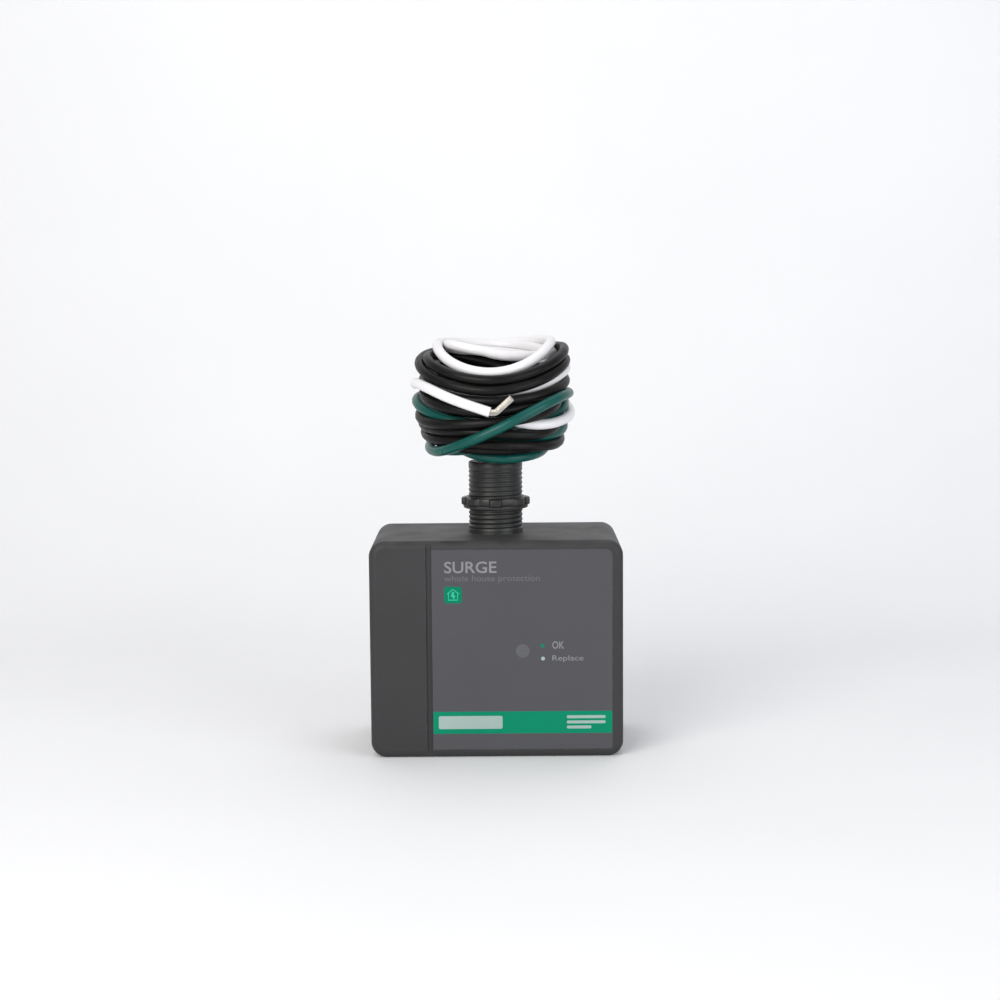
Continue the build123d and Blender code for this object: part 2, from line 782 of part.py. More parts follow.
with BuildPart() as bare_ends:
    for radius, azimuth, height, climb in bare_end_places:
        turn = math.radians(azimuth)
        rise = math.radians(climb)
        outward = Vector(math.cos(turn), 0, 0) + coil_back * math.sin(turn)
        along = Vector(-math.sin(turn), 0, 0) + coil_back * math.cos(turn)
        middle = coil_centre + outward * radius + coil_up * height
        heading = along * math.cos(rise) + coil_up * math.sin(rise)
        with Locations(Plane(origin=middle, z_dir=heading)):
            Cylinder(bare_end_radius, bare_end_length)
save(bare_ends.part, "bare_ends")
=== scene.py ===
import math

import bpy
import numpy as np
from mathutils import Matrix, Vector


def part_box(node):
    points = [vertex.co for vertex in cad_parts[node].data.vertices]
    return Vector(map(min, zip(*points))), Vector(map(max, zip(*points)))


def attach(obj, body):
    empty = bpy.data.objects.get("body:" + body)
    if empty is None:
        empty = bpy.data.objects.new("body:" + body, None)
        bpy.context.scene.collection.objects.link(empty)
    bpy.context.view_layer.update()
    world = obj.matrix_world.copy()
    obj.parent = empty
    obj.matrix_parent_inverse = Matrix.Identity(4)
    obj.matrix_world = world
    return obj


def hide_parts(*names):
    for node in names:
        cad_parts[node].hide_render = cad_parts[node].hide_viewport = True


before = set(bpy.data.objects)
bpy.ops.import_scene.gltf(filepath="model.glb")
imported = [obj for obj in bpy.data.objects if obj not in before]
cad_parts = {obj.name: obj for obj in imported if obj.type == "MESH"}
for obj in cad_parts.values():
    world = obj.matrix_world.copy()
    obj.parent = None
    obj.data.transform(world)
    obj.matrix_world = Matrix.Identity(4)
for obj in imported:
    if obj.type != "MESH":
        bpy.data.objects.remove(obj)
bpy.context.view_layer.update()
mm = 0.001


# camera: straight at the front, a little above it, looking slightly down

view = {"place": (0.0024, -0.790, 0.1872), "pitch": 6.5, "roll": 0.43, "lens": 72.0, "sensor": 36.0,
        "nearest": 0.05}

cameraData = bpy.data.cameras.new("frontCamera")
cameraData.lens = view["lens"]
cameraData.sensor_width = view["sensor"]
cameraData.clip_start = view["nearest"]
camera = bpy.data.objects.new("frontCamera", cameraData)
camera.location = view["place"]
camera.rotation_euler = (math.radians(90 - view["pitch"]), math.radians(view["roll"]), 0)
bpy.context.scene.collection.objects.link(camera)
bpy.context.scene.camera = camera
print("camera placed")


# shader groups that several materials share; each gives out only a colour, a mask or a height

def newGroup(name, inputs, outputs):
    group = bpy.data.node_groups.new(name, "ShaderNodeTree")
    for label, kind, value in inputs:
        socket = group.interface.new_socket(name=label, in_out="INPUT", socket_type=kind)
        socket.default_value = value
    for label, kind in outputs:
        group.interface.new_socket(name=label, in_out="OUTPUT", socket_type=kind)
    return group, group.nodes.new("NodeGroupInput"), group.nodes.new("NodeGroupOutput")


# adds a node with its settings and socket values; a value that is another node's socket becomes a link
def addNode(tree, kind, settings=None, **values):
    node = tree.nodes.new(kind)
    for key, value in (settings or {}).items():
        setattr(node, key, value)
    for key, value in values.items():
        numbered = key[0] == "i" and key[1:].isdigit()
        socket = node.inputs[int(key[1:]) if numbered else key.replace("_", " ")]
        if isinstance(value, bpy.types.NodeSocket):
            tree.links.new(value, socket)
        else:
            socket.default_value = value
    return node


number, colour = "NodeSocketFloat", "NodeSocketColor"

# moulded grain: fine noise and shallow cells, as a height
grain, groupIn, groupOut = newGroup("mouldedGrain", [("Scale", number, 900.0), ("Cells", number, 0.4)],
                                    [("Height", number)])
where = addNode(grain, "ShaderNodeTexCoord")
fine = addNode(grain, "ShaderNodeTexNoise", Vector=where.outputs["Object"], Scale=groupIn.outputs["Scale"],
               Detail=3.0, Roughness=0.6)
cells = addNode(grain, "ShaderNodeTexVoronoi", {"feature": "SMOOTH_F1"}, Vector=where.outputs["Object"],
                Scale=groupIn.outputs["Scale"])
mixed = addNode(grain, "ShaderNodeMix", i0=groupIn.outputs["Cells"], i2=fine.outputs["Fac"],
                i3=cells.outputs["Distance"])
grain.links.new(mixed.outputs[0], groupOut.inputs["Height"])

# uneven tone: the base colour, a little darker and lighter in soft clouds
tone, groupIn, groupOut = newGroup("unevenTone", [("Base", colour, (0.5, 0.5, 0.5, 1)),
                                                  ("Change", number, 0.1), ("Scale", number, 40.0)],
                                   [("Color", colour)])
where = addNode(tone, "ShaderNodeTexCoord")
clouds = addNode(tone, "ShaderNodeTexNoise", Vector=where.outputs["Object"], Scale=groupIn.outputs["Scale"],
                 Detail=4.0, Roughness=0.55)
span = addNode(tone, "ShaderNodeMapRange", Value=clouds.outputs["Fac"], From_Min=0.3, From_Max=0.7,
               To_Min=-1.0, To_Max=1.0)
amount = addNode(tone, "ShaderNodeMath", {"operation": "MULTIPLY_ADD"}, i0=span.outputs["Result"],
                 i1=groupIn.outputs["Change"], i2=1.0)
shaded = addNode(tone, "ShaderNodeVectorMath", {"operation": "SCALE"}, i0=groupIn.outputs["Base"],
                 i3=amount.outputs[0])
tone.links.new(shaded.outputs[0], groupOut.inputs["Color"])

# edge wear: where a rounded normal leaves the true one, broken up by patches
wear, groupIn, groupOut = newGroup("edgeWear", [("Width", number, 0.0006), ("Amount", number, 0.5),
                                                ("Patches", number, 220.0)], [("Mask", number)])
shape = addNode(wear, "ShaderNodeNewGeometry")
rounded = addNode(wear, "ShaderNodeBevel", {"samples": 3}, Radius=groupIn.outputs["Width"])
agree = addNode(wear, "ShaderNodeVectorMath", {"operation": "DOT_PRODUCT"}, i0=rounded.outputs["Normal"],
                i1=shape.outputs["Normal"])
edge = addNode(wear, "ShaderNodeMapRange", Value=agree.outputs["Value"], From_Min=0.995, From_Max=0.86)
where = addNode(wear, "ShaderNodeTexCoord")
patches = addNode(wear, "ShaderNodeTexNoise", Vector=where.outputs["Object"],
                  Scale=groupIn.outputs["Patches"], Detail=4.0, Roughness=0.7)
broken = addNode(wear, "ShaderNodeMapRange", Value=patches.outputs["Fac"], From_Min=0.42, From_Max=0.64)
both = addNode(wear, "ShaderNodeMath", {"operation": "MULTIPLY"}, i0=edge.outputs["Result"],
               i1=broken.outputs["Result"])
scaled = addNode(wear, "ShaderNodeMath", {"operation": "MULTIPLY", "use_clamp": True}, i0=both.outputs[0],
                 i1=groupIn.outputs["Amount"])
wear.links.new(scaled.outputs[0], groupOut.inputs["Mask"])

# dust: thin on faces that look up, thicker in patches
dust, groupIn, groupOut = newGroup("restingDust", [("Amount", number, 0.1), ("Scale", number, 70.0)],
                                   [("Mask", number)])
shape = addNode(dust, "ShaderNodeNewGeometry")
parts = addNode(dust, "ShaderNodeSeparateXYZ", Vector=shape.outputs["Normal"])
upward = addNode(dust, "ShaderNodeMapRange", Value=parts.outputs["Z"], From_Min=0.2, From_Max=1.0)
where = addNode(dust, "ShaderNodeTexCoord")
drift = addNode(dust, "ShaderNodeTexNoise", Vector=where.outputs["Object"], Scale=groupIn.outputs["Scale"],
                Detail=5.0, Roughness=0.65)
patch = addNode(dust, "ShaderNodeMapRange", Value=drift.outputs["Fac"], From_Min=0.35, From_Max=0.7)
both = addNode(dust, "ShaderNodeMath", {"operation": "MULTIPLY"}, i0=upward.outputs["Result"],
               i1=patch.outputs["Result"])
scaled = addNode(dust, "ShaderNodeMath", {"operation": "MULTIPLY", "use_clamp": True}, i0=both.outputs[0],
                 i1=groupIn.outputs["Amount"])
dust.links.new(scaled.outputs[0], groupOut.inputs["Mask"])

# brushed streaks: noise drawn out along one way, as a height
streaks, groupIn, groupOut = newGroup("drawnStreaks", [("Scale", number, 600.0), ("Along", number, 0.05)],
                                      [("Height", number)])
where = addNode(streaks, "ShaderNodeTexCoord")
stretch = addNode(streaks, "ShaderNodeCombineXYZ", X=groupIn.outputs["Along"], Y=1.0, Z=1.0)
drawn = addNode(streaks, "ShaderNodeVectorMath", {"operation": "MULTIPLY"}, i0=where.outputs["Object"],
                i1=stretch.outputs["Vector"])
lines = addNode(streaks, "ShaderNodeTexNoise", Vector=drawn.outputs[0], Scale=groupIn.outputs["Scale"],
                Detail=2.0, Roughness=0.5)
streaks.links.new(lines.outputs["Fac"], groupOut.inputs["Height"])
print("shader groups ready")


surface = {"roughClouds": 2.3,     # clouds of roughness are this much finer than those of tone
           "roughSpread": 0.06, "roughLowest": 0.02, "dustColour": (0.32, 0.31, 0.29, 1)}


# a finish: base colour with uneven tone, worn edges and dust over it, grain in the bump, roughness that
# varies with the same clouds; plain numbers go straight on the shader
def makeFinish(name, base, rough=0.5, metal=0.0, change=0.1, clouds=40.0, worn=None, wornAmount=0.4,
               wornWidth=0.0005, dusty=0.0, grainScale=900.0, grainDepth=0.00002, cellShare=0.4, coat=0.0,
               coatRough=0.2, clear=0.0, ior=1.5, drawn=False, sheen=0.0, gloss=0.5):
    finish = bpy.data.materials.new(name)
    finish.use_nodes = True
    tree = finish.node_tree
    tree.nodes.clear()
    shader = addNode(tree, "ShaderNodeBsdfPrincipled", IOR=ior, Specular_IOR_Level=gloss,
                     Coat_Roughness=coatRough, Coat_Weight=coat, Metallic=metal,
                     Transmission_Weight=clear, Sheen_Weight=sheen)
    addNode(tree, "ShaderNodeOutputMaterial", Surface=shader.outputs["BSDF"])
    tint = addNode(tree, "ShaderNodeGroup", {"node_tree": tone}, Base=(*base, 1), Change=change, Scale=clouds)
    topColour = tint.outputs["Color"]
    if worn:
        rubbed = addNode(tree, "ShaderNodeGroup", {"node_tree": wear}, Width=wornWidth, Amount=wornAmount)
        topColour = addNode(tree, "ShaderNodeMix", {"data_type": "RGBA"}, i0=rubbed.outputs["Mask"],
                            i6=topColour, i7=(*worn, 1)).outputs[2]
    if dusty:
        settled = addNode(tree, "ShaderNodeGroup", {"node_tree": dust}, Amount=dusty)
        topColour = addNode(tree, "ShaderNodeMix", {"data_type": "RGBA"}, i0=settled.outputs["Mask"],
                            i6=topColour, i7=surface["dustColour"]).outputs[2]
    tree.links.new(topColour, shader.inputs["Base Color"])
    where = addNode(tree, "ShaderNodeTexCoord")
    uneven = addNode(tree, "ShaderNodeTexNoise", Vector=where.outputs["Object"],
                     Scale=clouds * surface["roughClouds"], Detail=4.0)
    varied = addNode(tree, "ShaderNodeMapRange", Value=uneven.outputs["Fac"], From_Min=0.3, From_Max=0.7,
                     To_Min=max(rough - surface["roughSpread"], surface["roughLowest"]),
                     To_Max=min(rough + surface["roughSpread"], 1.0))
    tree.links.new(varied.outputs["Result"], shader.inputs["Roughness"])
    if drawn:
        relief = addNode(tree, "ShaderNodeGroup", {"node_tree": streaks}, Scale=grainScale)
    else:
        relief = addNode(tree, "ShaderNodeGroup", {"node_tree": grain}, Scale=grainScale, Cells=cellShare)
    bump = addNode(tree, "ShaderNodeBump", Height=relief.outputs["Height"], Distance=grainDepth, Strength=1.0)
    tree.links.new(bump.outputs["Normal"], shader.inputs["Normal"])
    return finish


# finishes, by record slot, the wires' among them; prints have their own below
finishes = {
    "case_plastic": makeFinish("casePlastic", (0.034, 0.034, 0.0355), rough=0.55, gloss=0.25,
                               change=0.07, clouds=26, worn=(0.16, 0.16, 0.165), wornAmount=0.35,
                               dusty=0.10, grainScale=1500, grainDepth=0.00003, cellShare=0.35),
    "nipple_plastic": makeFinish("nipplePlastic", (0.0115, 0.0115, 0.011), rough=0.42, change=0.12, clouds=55,
                                 worn=(0.10, 0.10, 0.098), wornAmount=0.5, wornWidth=0.00025, dusty=0.06,
                                 grainScale=1300, grainDepth=0.000012),
    "label_film": makeFinish("labelFilm", (0.069, 0.069, 0.0755), rough=0.45, gloss=0.2,
                             change=0.035, clouds=18, worn=(0.2, 0.2, 0.205), wornAmount=0.3,
                             wornWidth=0.0002, grainScale=2600, grainDepth=0.000006, cellShare=0.1),
    "rating_film": makeFinish("ratingFilm", (0.46, 0.46, 0.45), rough=0.4, change=0.05, clouds=22,
                              worn=(0.7, 0.7, 0.69), wornAmount=0.3, dusty=0.05, grainScale=2200,
                              grainDepth=0.000005),
    "clear_acrylic": makeFinish("smokedAcrylic", (0.098, 0.1, 0.106), rough=0.4, gloss=0.2, change=0.04,
                                clouds=60, ior=1.49, grainScale=1800, grainDepth=0.000005),
    "led_resin": makeFinish("ledResin", (0.08, 0.5, 0.25), rough=0.15, clear=0.5, ior=1.54, change=0.05),
    "board_laminate": makeFinish("boardLaminate", (0.018, 0.12, 0.05), rough=0.35, change=0.1, clouds=120,
                                 grainScale=2400, grainDepth=0.000008, coat=0.3),
    "varistor_epoxy": makeFinish("varistorEpoxy", (0.02, 0.08, 0.32), rough=0.28, change=0.12, clouds=160,
                                 grainScale=700, grainDepth=0.00003, coat=0.4, worn=(0.1, 0.2, 0.5)),
    "fuse_ceramic": makeFinish("fuseCeramic", (0.72, 0.69, 0.63), rough=0.7, change=0.08, clouds=140,
                               grainScale=1900, grainDepth=0.00002),
    "capacitor_box": makeFinish("capacitorBox", (0.62, 0.36, 0.03), rough=0.33, change=0.06, clouds=90,
                                grainScale=1100, grainDepth=0.00001, worn=(0.8, 0.6, 0.2)),
    "resistor_body": makeFinish("resistorLacquer", (0.2, 0.34, 0.42), rough=0.3, change=0.1, clouds=200,
                                coat=0.4),
    "black_epoxy": makeFinish("mouldedEpoxy", (0.02, 0.02, 0.021), rough=0.55, change=0.1, clouds=150,
                              grainScale=1700, grainDepth=0.00002),
    "fuse_brass": makeFinish("platedBrass", (0.66, 0.6, 0.48), rough=0.3, metal=1.0, change=0.1, clouds=160,
                             drawn=True, grainDepth=0.000006, worn=(0.7, 0.5, 0.25)),
    "tinned_copper": makeFinish("tinnedCopper", (0.62, 0.58, 0.52), rough=0.34, metal=1.0, change=0.14,
                                clouds=260, worn=(0.66, 0.44, 0.30), wornWidth=0.0001, grainScale=3000,
                                grainDepth=0.00001),
    "fibre_sheet": makeFinish("fibreSheet", (0.2, 0.22, 0.2), rough=0.8, change=0.12, clouds=110,
                              grainScale=1500, grainDepth=0.00003),
    "plate_steel": makeFinish("platedSteel", (0.56, 0.56, 0.55), rough=0.35, metal=1.0, change=0.08,
                              clouds=90, drawn=True, grainDepth=0.00001),
    "screw_steel": makeFinish("screwSteel", (0.5, 0.5, 0.5), rough=0.32, metal=1.0, change=0.1, clouds=200,
                              worn=(0.75, 0.75, 0.74), wornAmount=0.6, wornWidth=0.0002, grainDepth=0.000008),
    "locknut_metal": makeFinish("blackPlatedSteel", (0.035, 0.035, 0.034), rough=0.36, metal=0.6, change=0.14,
                                clouds=120, worn=(0.30, 0.29, 0.28), wornAmount=0.8, wornWidth=0.0003,
                                dusty=0.05, grainScale=1400, grainDepth=0.000012),
    "black_rubber": makeFinish("blackRubber", (0.018, 0.018, 0.018), rough=0.68, change=0.12, clouds=80,
                               dusty=0.2, grainScale=1600, grainDepth=0.00002, sheen=0.1),
    "black_insulation": makeFinish("blackInsulation", (0.0032, 0.0029, 0.0027), rough=0.42, gloss=0.17,
                                   change=0.16, clouds=120, dusty=0.05, grainScale=1500,
                                   grainDepth=0.000012, coat=0.05),
    "white_insulation": makeFinish("whiteInsulation", (0.80, 0.785, 0.80), rough=0.36, change=0.03,
                                   clouds=70, dusty=0.06, grainScale=1500, grainDepth=0.000012, coat=0.15),
    "green_insulation": makeFinish("greenInsulation", (0.001, 0.074, 0.062), rough=0.32, gloss=0.25,
                                   change=0.1, clouds=80, dusty=0.04, grainScale=1500,
                                   grainDepth=0.000012, coat=0.05),
}

# every frame piece takes the finish of its record slot
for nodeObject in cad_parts.values():
    for place in nodeObject.material_slots:
        slotName = place.material.name.split(".")[0] if place.material else ""
        if slotName in finishes:
            place.material = finishes[slotName]
print("finishes on the frame's pieces")


# puts finished points and faces into a mesh object that rides on a body; its finish is the one given, or else
# the finish of the named record slot
def addPiece(name, points, faces, body, slotName, finish=None, smooth=True):
    mesh = bpy.data.meshes.new(name)
    mesh.from_pydata(np.asarray(points, dtype=float).tolist(), [], faces)
    mesh.polygons.foreach_set("use_smooth", np.full(len(mesh.polygons), smooth))
    mesh.materials.append(finish or finishes[slotName])
    mesh.update()
    piece = bpy.data.objects.new(name, mesh)
    bpy.context.scene.collection.objects.link(piece)
    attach(piece, body)
    return piece


# quads over a grid of points, rows by columns; the columns, and the rows if asked, run on into the first
def gridFaces(rows, columns, wrapRows=False, first=0):
    r, c = np.meshgrid(np.arange(rows if wrapRows else rows - 1), np.arange(columns), indexing="ij")
    r, c = r.ravel(), c.ravel()
    up, along = (r + 1) % rows, (c + 1) % columns
    quads = np.column_stack((r * columns + c, r * columns + along, up * columns + along, up * columns + c))
    return (quads + first).tolist()


# a closed ring about the nipple's axis: each row is a radius and a height, each may change round the turn
def ringSurface(radius, height, columns):
    angle = np.arange(columns) * 2 * np.pi / columns
    radius = np.broadcast_to(radius, (len(radius), columns))
    height = np.broadcast_to(height, (len(height), columns))
    return np.stack((radius * np.cos(angle), radius * np.sin(angle), height), axis=2).reshape(-1, 3)


# cords: four leads rise out of the seal, curve outwards and lie round each other in one leaning coil

coil = {
    "centre": (-0.001, 0.0, 0.1358),
    "lean": 11.0,           # degrees towards the front at the middle of the coil
    "narrowing": 0.965,     # width over depth of each turn
    "flattening": 0.955,    # share of the heights below that the turns keep
    "lift": 0.00038,        # then all turns are raised by this much
    "step": 5.0,            # degrees between the points that are settled
    "settleRounds": 260,
    "clearance": 0.00406,   # the leads come to rest this far apart, middle to middle
    "watched": 2.4,         # pairs closer than this many clearances are watched
    "watchEvery": 12,       # rounds from one search for such pairs to the next
    "sameLead": 16,         # points this near along one lead never push each other
    "gain": 1.6,            # share of a push that is taken up in its round
    "smoothings": 3,        # times a round that a push is spread along its lead
    "kept": 0.9985,         # share of the moves kept from round to round
    "firstKept": 2,         # the curve starts at this settled point
    "everyKept": 3,         # and takes every third one from there
}
lead = {"diameter": 0.004, "length": 0.914, "bareLength": 0.0105, "stepsPerPoint": 5, "roundness": 4}

# route: the free stretch, point by point, in metres; turns: degrees round the coil, radius in mm, and
# height in mm before the flattening and the lift
leads = {
    "black_lead_a": {
        "route": [(-0.003, 0.003, 0.112), (-0.003, 0.003, 0.121), (-0.001, 0.008, 0.129),
                  (-0.006, 0.015, 0.1363), (-0.0145, 0.018, 0.1413)],
        "turns": [(180, 22.4, 3.5), (270, 22, 6.4), (360, 22.2, 9.8), (450, 25.7, 12.8), (540, 29.4, 15.6),
                  (630, 29.5, 12), (720, 29.7, 17), (810, 30, 8.2), (900, 27.2, 4.4), (990, 30.3, 3.7),
                  (1080, 26.4, 6.3), (1170, 30, -3.4), (1260, 28.6, -8), (1350, 29.9, -4.5),
                  (1392, 29.4, -7.6), (1415, 28, -7.4), (1440, 26.2, -6.4), (1530, 25.5, -9.3),
                  (1620, 22.8, -13.5), (1710, 26.2, -12.6), (1800, 23.6, -14.4), (1890, 24, -14),
                  (1930, 22, -13), (1990, 19.5, -12)],
        "material": "black"},
    "black_lead_b": {
        "route": [(-0.003, -0.003, 0.112), (-0.003, -0.003, 0.12), (-0.008, -0.0015, 0.127),
                  (-0.015, -0.006, 0.1323), (-0.018, -0.015, 0.1343)],
        "turns": [(270, 22.2, 2), (360, 22, 5.5), (450, 22, 10.6), (540, 27.2, 19.6), (630, 28.3, 15.9),
                  (720, 28.4, 21), (810, 29.8, 12), (900, 28.4, 11.4), (990, 30, 7.8), (1080, 30.2, 8.4),
                  (1170, 26.2, 4.4), (1260, 29.4, -3.9), (1350, 30.3, -0.4), (1392, 30, 0.8),
                  (1420, 28.2, 1.8), (1440, 26.4, 2), (1530, 30, -6.6), (1620, 26.8, -12),
                  (1710, 28.6, -8.7), (1800, 27.4, -12.6), (1890, 27.8, -14.9), (1925, 25, -14.6),
                  (1950, 22.8, -14)],
        "material": "black"},
    "white_lead": {
        "route": [(0.003, -0.003, 0.112), (0.003, -0.003, 0.122), (0.0015, -0.008, 0.1305),
                  (0.0065, -0.0145, 0.1378), (0.015, -0.0175, 0.1418)],
        "turns": [(360, 23.6, 15.3), (450, 23.4, 16), (505, 21, 20), (525, 19.5, 23.5), (540, 17, 24.5),
                  (554, 12.4, 24), (577, 7.5, 23.2), (630, 5, 22), (680, 7.8, 21.2), (702, 12.6, 20.7),
                  (714, 18.1, 20.3), (722, 24, 19.9), (765, 26.5, 18.7), (810, 27.8, 17.4),
                  (895, 21.3, 23.4), (990, 24.6, 18.3), (1083, 23.8, 23.6), (1125, 27.8, 19.5),
                  (1170, 31.8, 16.1), (1260, 25.4, 13.8), (1350, 25.6, 8.4), (1440, 28.8, 12.6),
                  (1530, 33, 4.2), (1620, 26.2, 0.2), (1710, 26.3, 1.6), (1735, 28.5, -2.6),
                  (1748, 30.6, -3.4), (1773, 30.7, -4.1), (1800, 30.4, -4.4), (1890, 33.4, 0.6),
                  (1940, 31.5, 4.6), (1980, 30.5, 8), (2000, 31.4, 11.4), (2018, 32.6, 12.2),
                  (2036, 33.6, 10.6), (2053, 34.3, 8.3), (2067, 34.5, 5.8), (2078, 34.5, 3.8)],
        "material": "white"},
    "green_lead": {
        "route": [(0.003, 0.003, 0.112), (0.003, 0.003, 0.1195), (0.0085, 0.0015, 0.1262),
                  (0.0155, 0.006, 0.1308), (0.0185, 0.015, 0.1333)],
        "turns": [(120, 21.5, -10.5), (190, 18.7, -13.8), (235, 20.8, -15.8), (270, 22.8, -16.6),
                  (360, 21, -17.9), (450, 20.5, -17), (540, 22.2, -17.6), (630, 22, -12), (720, 22, -8.6),
                  (810, 21.6, -6.6), (900, 23.4, -9.2), (990, 24.4, -8.3), (1080, 29.6, -8.9),
                  (1170, 26, -4.5), (1260, 30.4, 0.4), (1300, 28.8, -1.6), (1350, 25.9, -2.8),
                  (1400, 26.2, -2.4), (1420, 28.2, -2.2), (1440, 30.3, 0.1), (1530, 29.5, -10.8),
                  (1600, 23.5, -17), (1640, 26, -16.5), (1668, 29.9, -13.6), (1697, 33.6, -5.7),
                  (1716, 34.4, 0), (1738, 34.1, 5.7), (1758, 33.2, 8.2), (1781, 31.5, 7.5),
                  (1800, 30.6, 4.4), (1830, 28.5, 2), (1890, 26.2, 1.2), (1930, 23.5, 0),
                  (1990, 21.5, -2)],
        "material": "green"},
}


# place on the coil: the middle, plus the radius along the turn's leaning plane, plus the height along the
# axis that leans with it
def coilPoints(turned, radius, height):
    lean = math.radians(coil["lean"])
    angle = np.radians(turned)
    x = radius * np.cos(angle) * coil["narrowing"]
    back = radius * np.sin(angle)
    y = back * math.cos(lean) - height * math.sin(lean)
    z = back * math.sin(lean) + height * math.cos(lean)
    return np.column_stack((x, y, z)) + coil["centre"]


# a smooth curve through the keys: cubic pieces whose slope at a key is the slope between its neighbours
def throughKeys(at, keyAt, keyValue):
    slope = np.gradient(keyValue, keyAt)
    n = np.clip(np.searchsorted(keyAt, at, side="right") - 1, 0, len(keyAt) - 2)
    span = keyAt[n + 1] - keyAt[n]
    t = (at - keyAt[n]) / span
    rise = t * t * (3 - 2 * t)
    return (keyValue[n] * (1 - rise) + keyValue[n + 1] * rise
            + slope[n] * span * t * (1 - t) ** 2 - slope[n + 1] * span * t * t * (1 - t))


# the wanted turns of one lead, one point every few degrees, from where its free stretch ends
def wantedTurns(spec):
    lastPoint = np.array(spec["route"][-1]) - coil["centre"]
    lean = math.radians(coil["lean"])
    back = lastPoint[1] * math.cos(lean) + lastPoint[2] * math.sin(lean)
    height = -lastPoint[1] * math.sin(lean) + lastPoint[2] * math.cos(lean)
    startAt = math.degrees(math.atan2(back, lastPoint[0])) % 360
    startRadius = math.hypot(lastPoint[0], back)
    keys = np.array(spec["turns"], dtype=float)
    keyAt = np.concatenate(([startAt], keys[:, 0]))
    keyRadius = np.concatenate(([startRadius], keys[:, 1] * mm))
    keyHeight = np.concatenate(([height], keys[:, 2] * mm * coil["flattening"] + coil["lift"]))
    count = int((keyAt[-1] - startAt) / coil["step"])
    turned = startAt + np.arange(1, count + 1) * coil["step"]
    turned[-1] = keyAt[-1]
    return coilPoints(turned, throughKeys(turned, keyAt, keyRadius), throughKeys(turned, keyAt, keyHeight))


# points read from a route's own smooth spline, close together, as a spline of order three runs
def splineSamples(points, perSpan=8):
    points = np.asarray(points, dtype=float)
    joints = np.vstack((points[:1], (points[1:-2] + points[2:-1]) / 2, points[-1:]))
    t = np.linspace(0, 1, perSpan, endpoint=False)[:, None]
    pieces = [joints[n] * (1 - t) ** 2 + 2 * points[n + 1] * t * (1 - t) + joints[n + 1] * t * t
              for n in range(len(joints) - 1)]
    return np.vstack(pieces + [points[-1:]])


# length of a line: the sum of the distances between neighbouring points
def lengthOf(points):
    return float(np.linalg.norm(np.diff(points, axis=0), axis=1).sum())


# settling: turns that lie closer than their clearance push each other apart, half each; a free stretch
# stays where it is and pushes a turn the whole way; every lead spreads its pushes along itself, so that
# it stays a smooth curve about its wanted turns
def settleTurns(wanted, freeStretches):
    count = [len(w) for w in wanted]
    start = np.concatenate(([0], np.cumsum(count)))[:-1]
    rest = np.vstack(wanted)
    owner = np.repeat(np.arange(len(wanted)), count)
    order = np.concatenate([np.arange(n) for n in count])
    free = np.vstack(freeStretches)
    freeOwner = np.repeat(np.arange(len(wanted)), [len(f) for f in freeStretches])
    moved = np.zeros_like(rest)
    near = coil["clearance"]
    for turn in range(coil["settleRounds"]):
        place = rest + moved
        if turn % coil["watchEvery"] == 0:
            apart = ((place[:, None, :] - place[None, :, :]) ** 2).sum(axis=2)
            beside = abs(order[:, None] - order[None, :]) < coil["sameLead"]
            own = (owner[:, None] == owner[None, :]) & beside
            one, two = np.nonzero(np.triu((apart < (coil["watched"] * near) ** 2) & ~own, 1))
            toFree = ((place[:, None, :] - free[None, :, :]) ** 2).sum(axis=2)
            ownFree = (owner[:, None] == freeOwner[None, :]) & (order[:, None] < coil["sameLead"])
            body, hand = np.nonzero((toFree < (coil["watched"] * near) ** 2) & ~ownFree)
        push = np.zeros_like(rest)
        weight = np.zeros(len(rest))
        gap = place[one] - place[two]
        size = np.linalg.norm(gap, axis=1) + 1e-9
        over = np.clip(near - size, 0, None)
        shove = gap / size[:, None] * over[:, None] * 0.5
        for side, sign in ((one, 1), (two, -1)):
            for axis in range(3):
                push[:, axis] += sign * np.bincount(side, shove[:, axis], len(rest))
            weight += np.bincount(side, over > 0, len(rest))
        gap = place[body] - free[hand]
        size = np.linalg.norm(gap, axis=1) + 1e-9
        over = np.clip(near - size, 0, None)
        shove = gap / size[:, None] * over[:, None]
        for axis in range(3):
            push[:, axis] += np.bincount(body, shove[:, axis], len(rest))
        weight += np.bincount(body, over > 0, len(rest))
        moved += coil["gain"] * push / np.maximum(weight, 1)[:, None] ** 0.5
        for n, first in enumerate(start):
            part = moved[first:first + count[n]]
            for smoothing in range(coil["smoothings"]):
                padded = np.vstack((np.zeros(3), part, part[-1:]))
                part = (padded[:-2] + 2 * padded[1:-1] + padded[2:]) / 4
            moved[first:first + count[n]] = part
        moved *= coil["kept"]
    place = rest + moved
    return [place[first:first + n] for first, n in zip(start, count)]
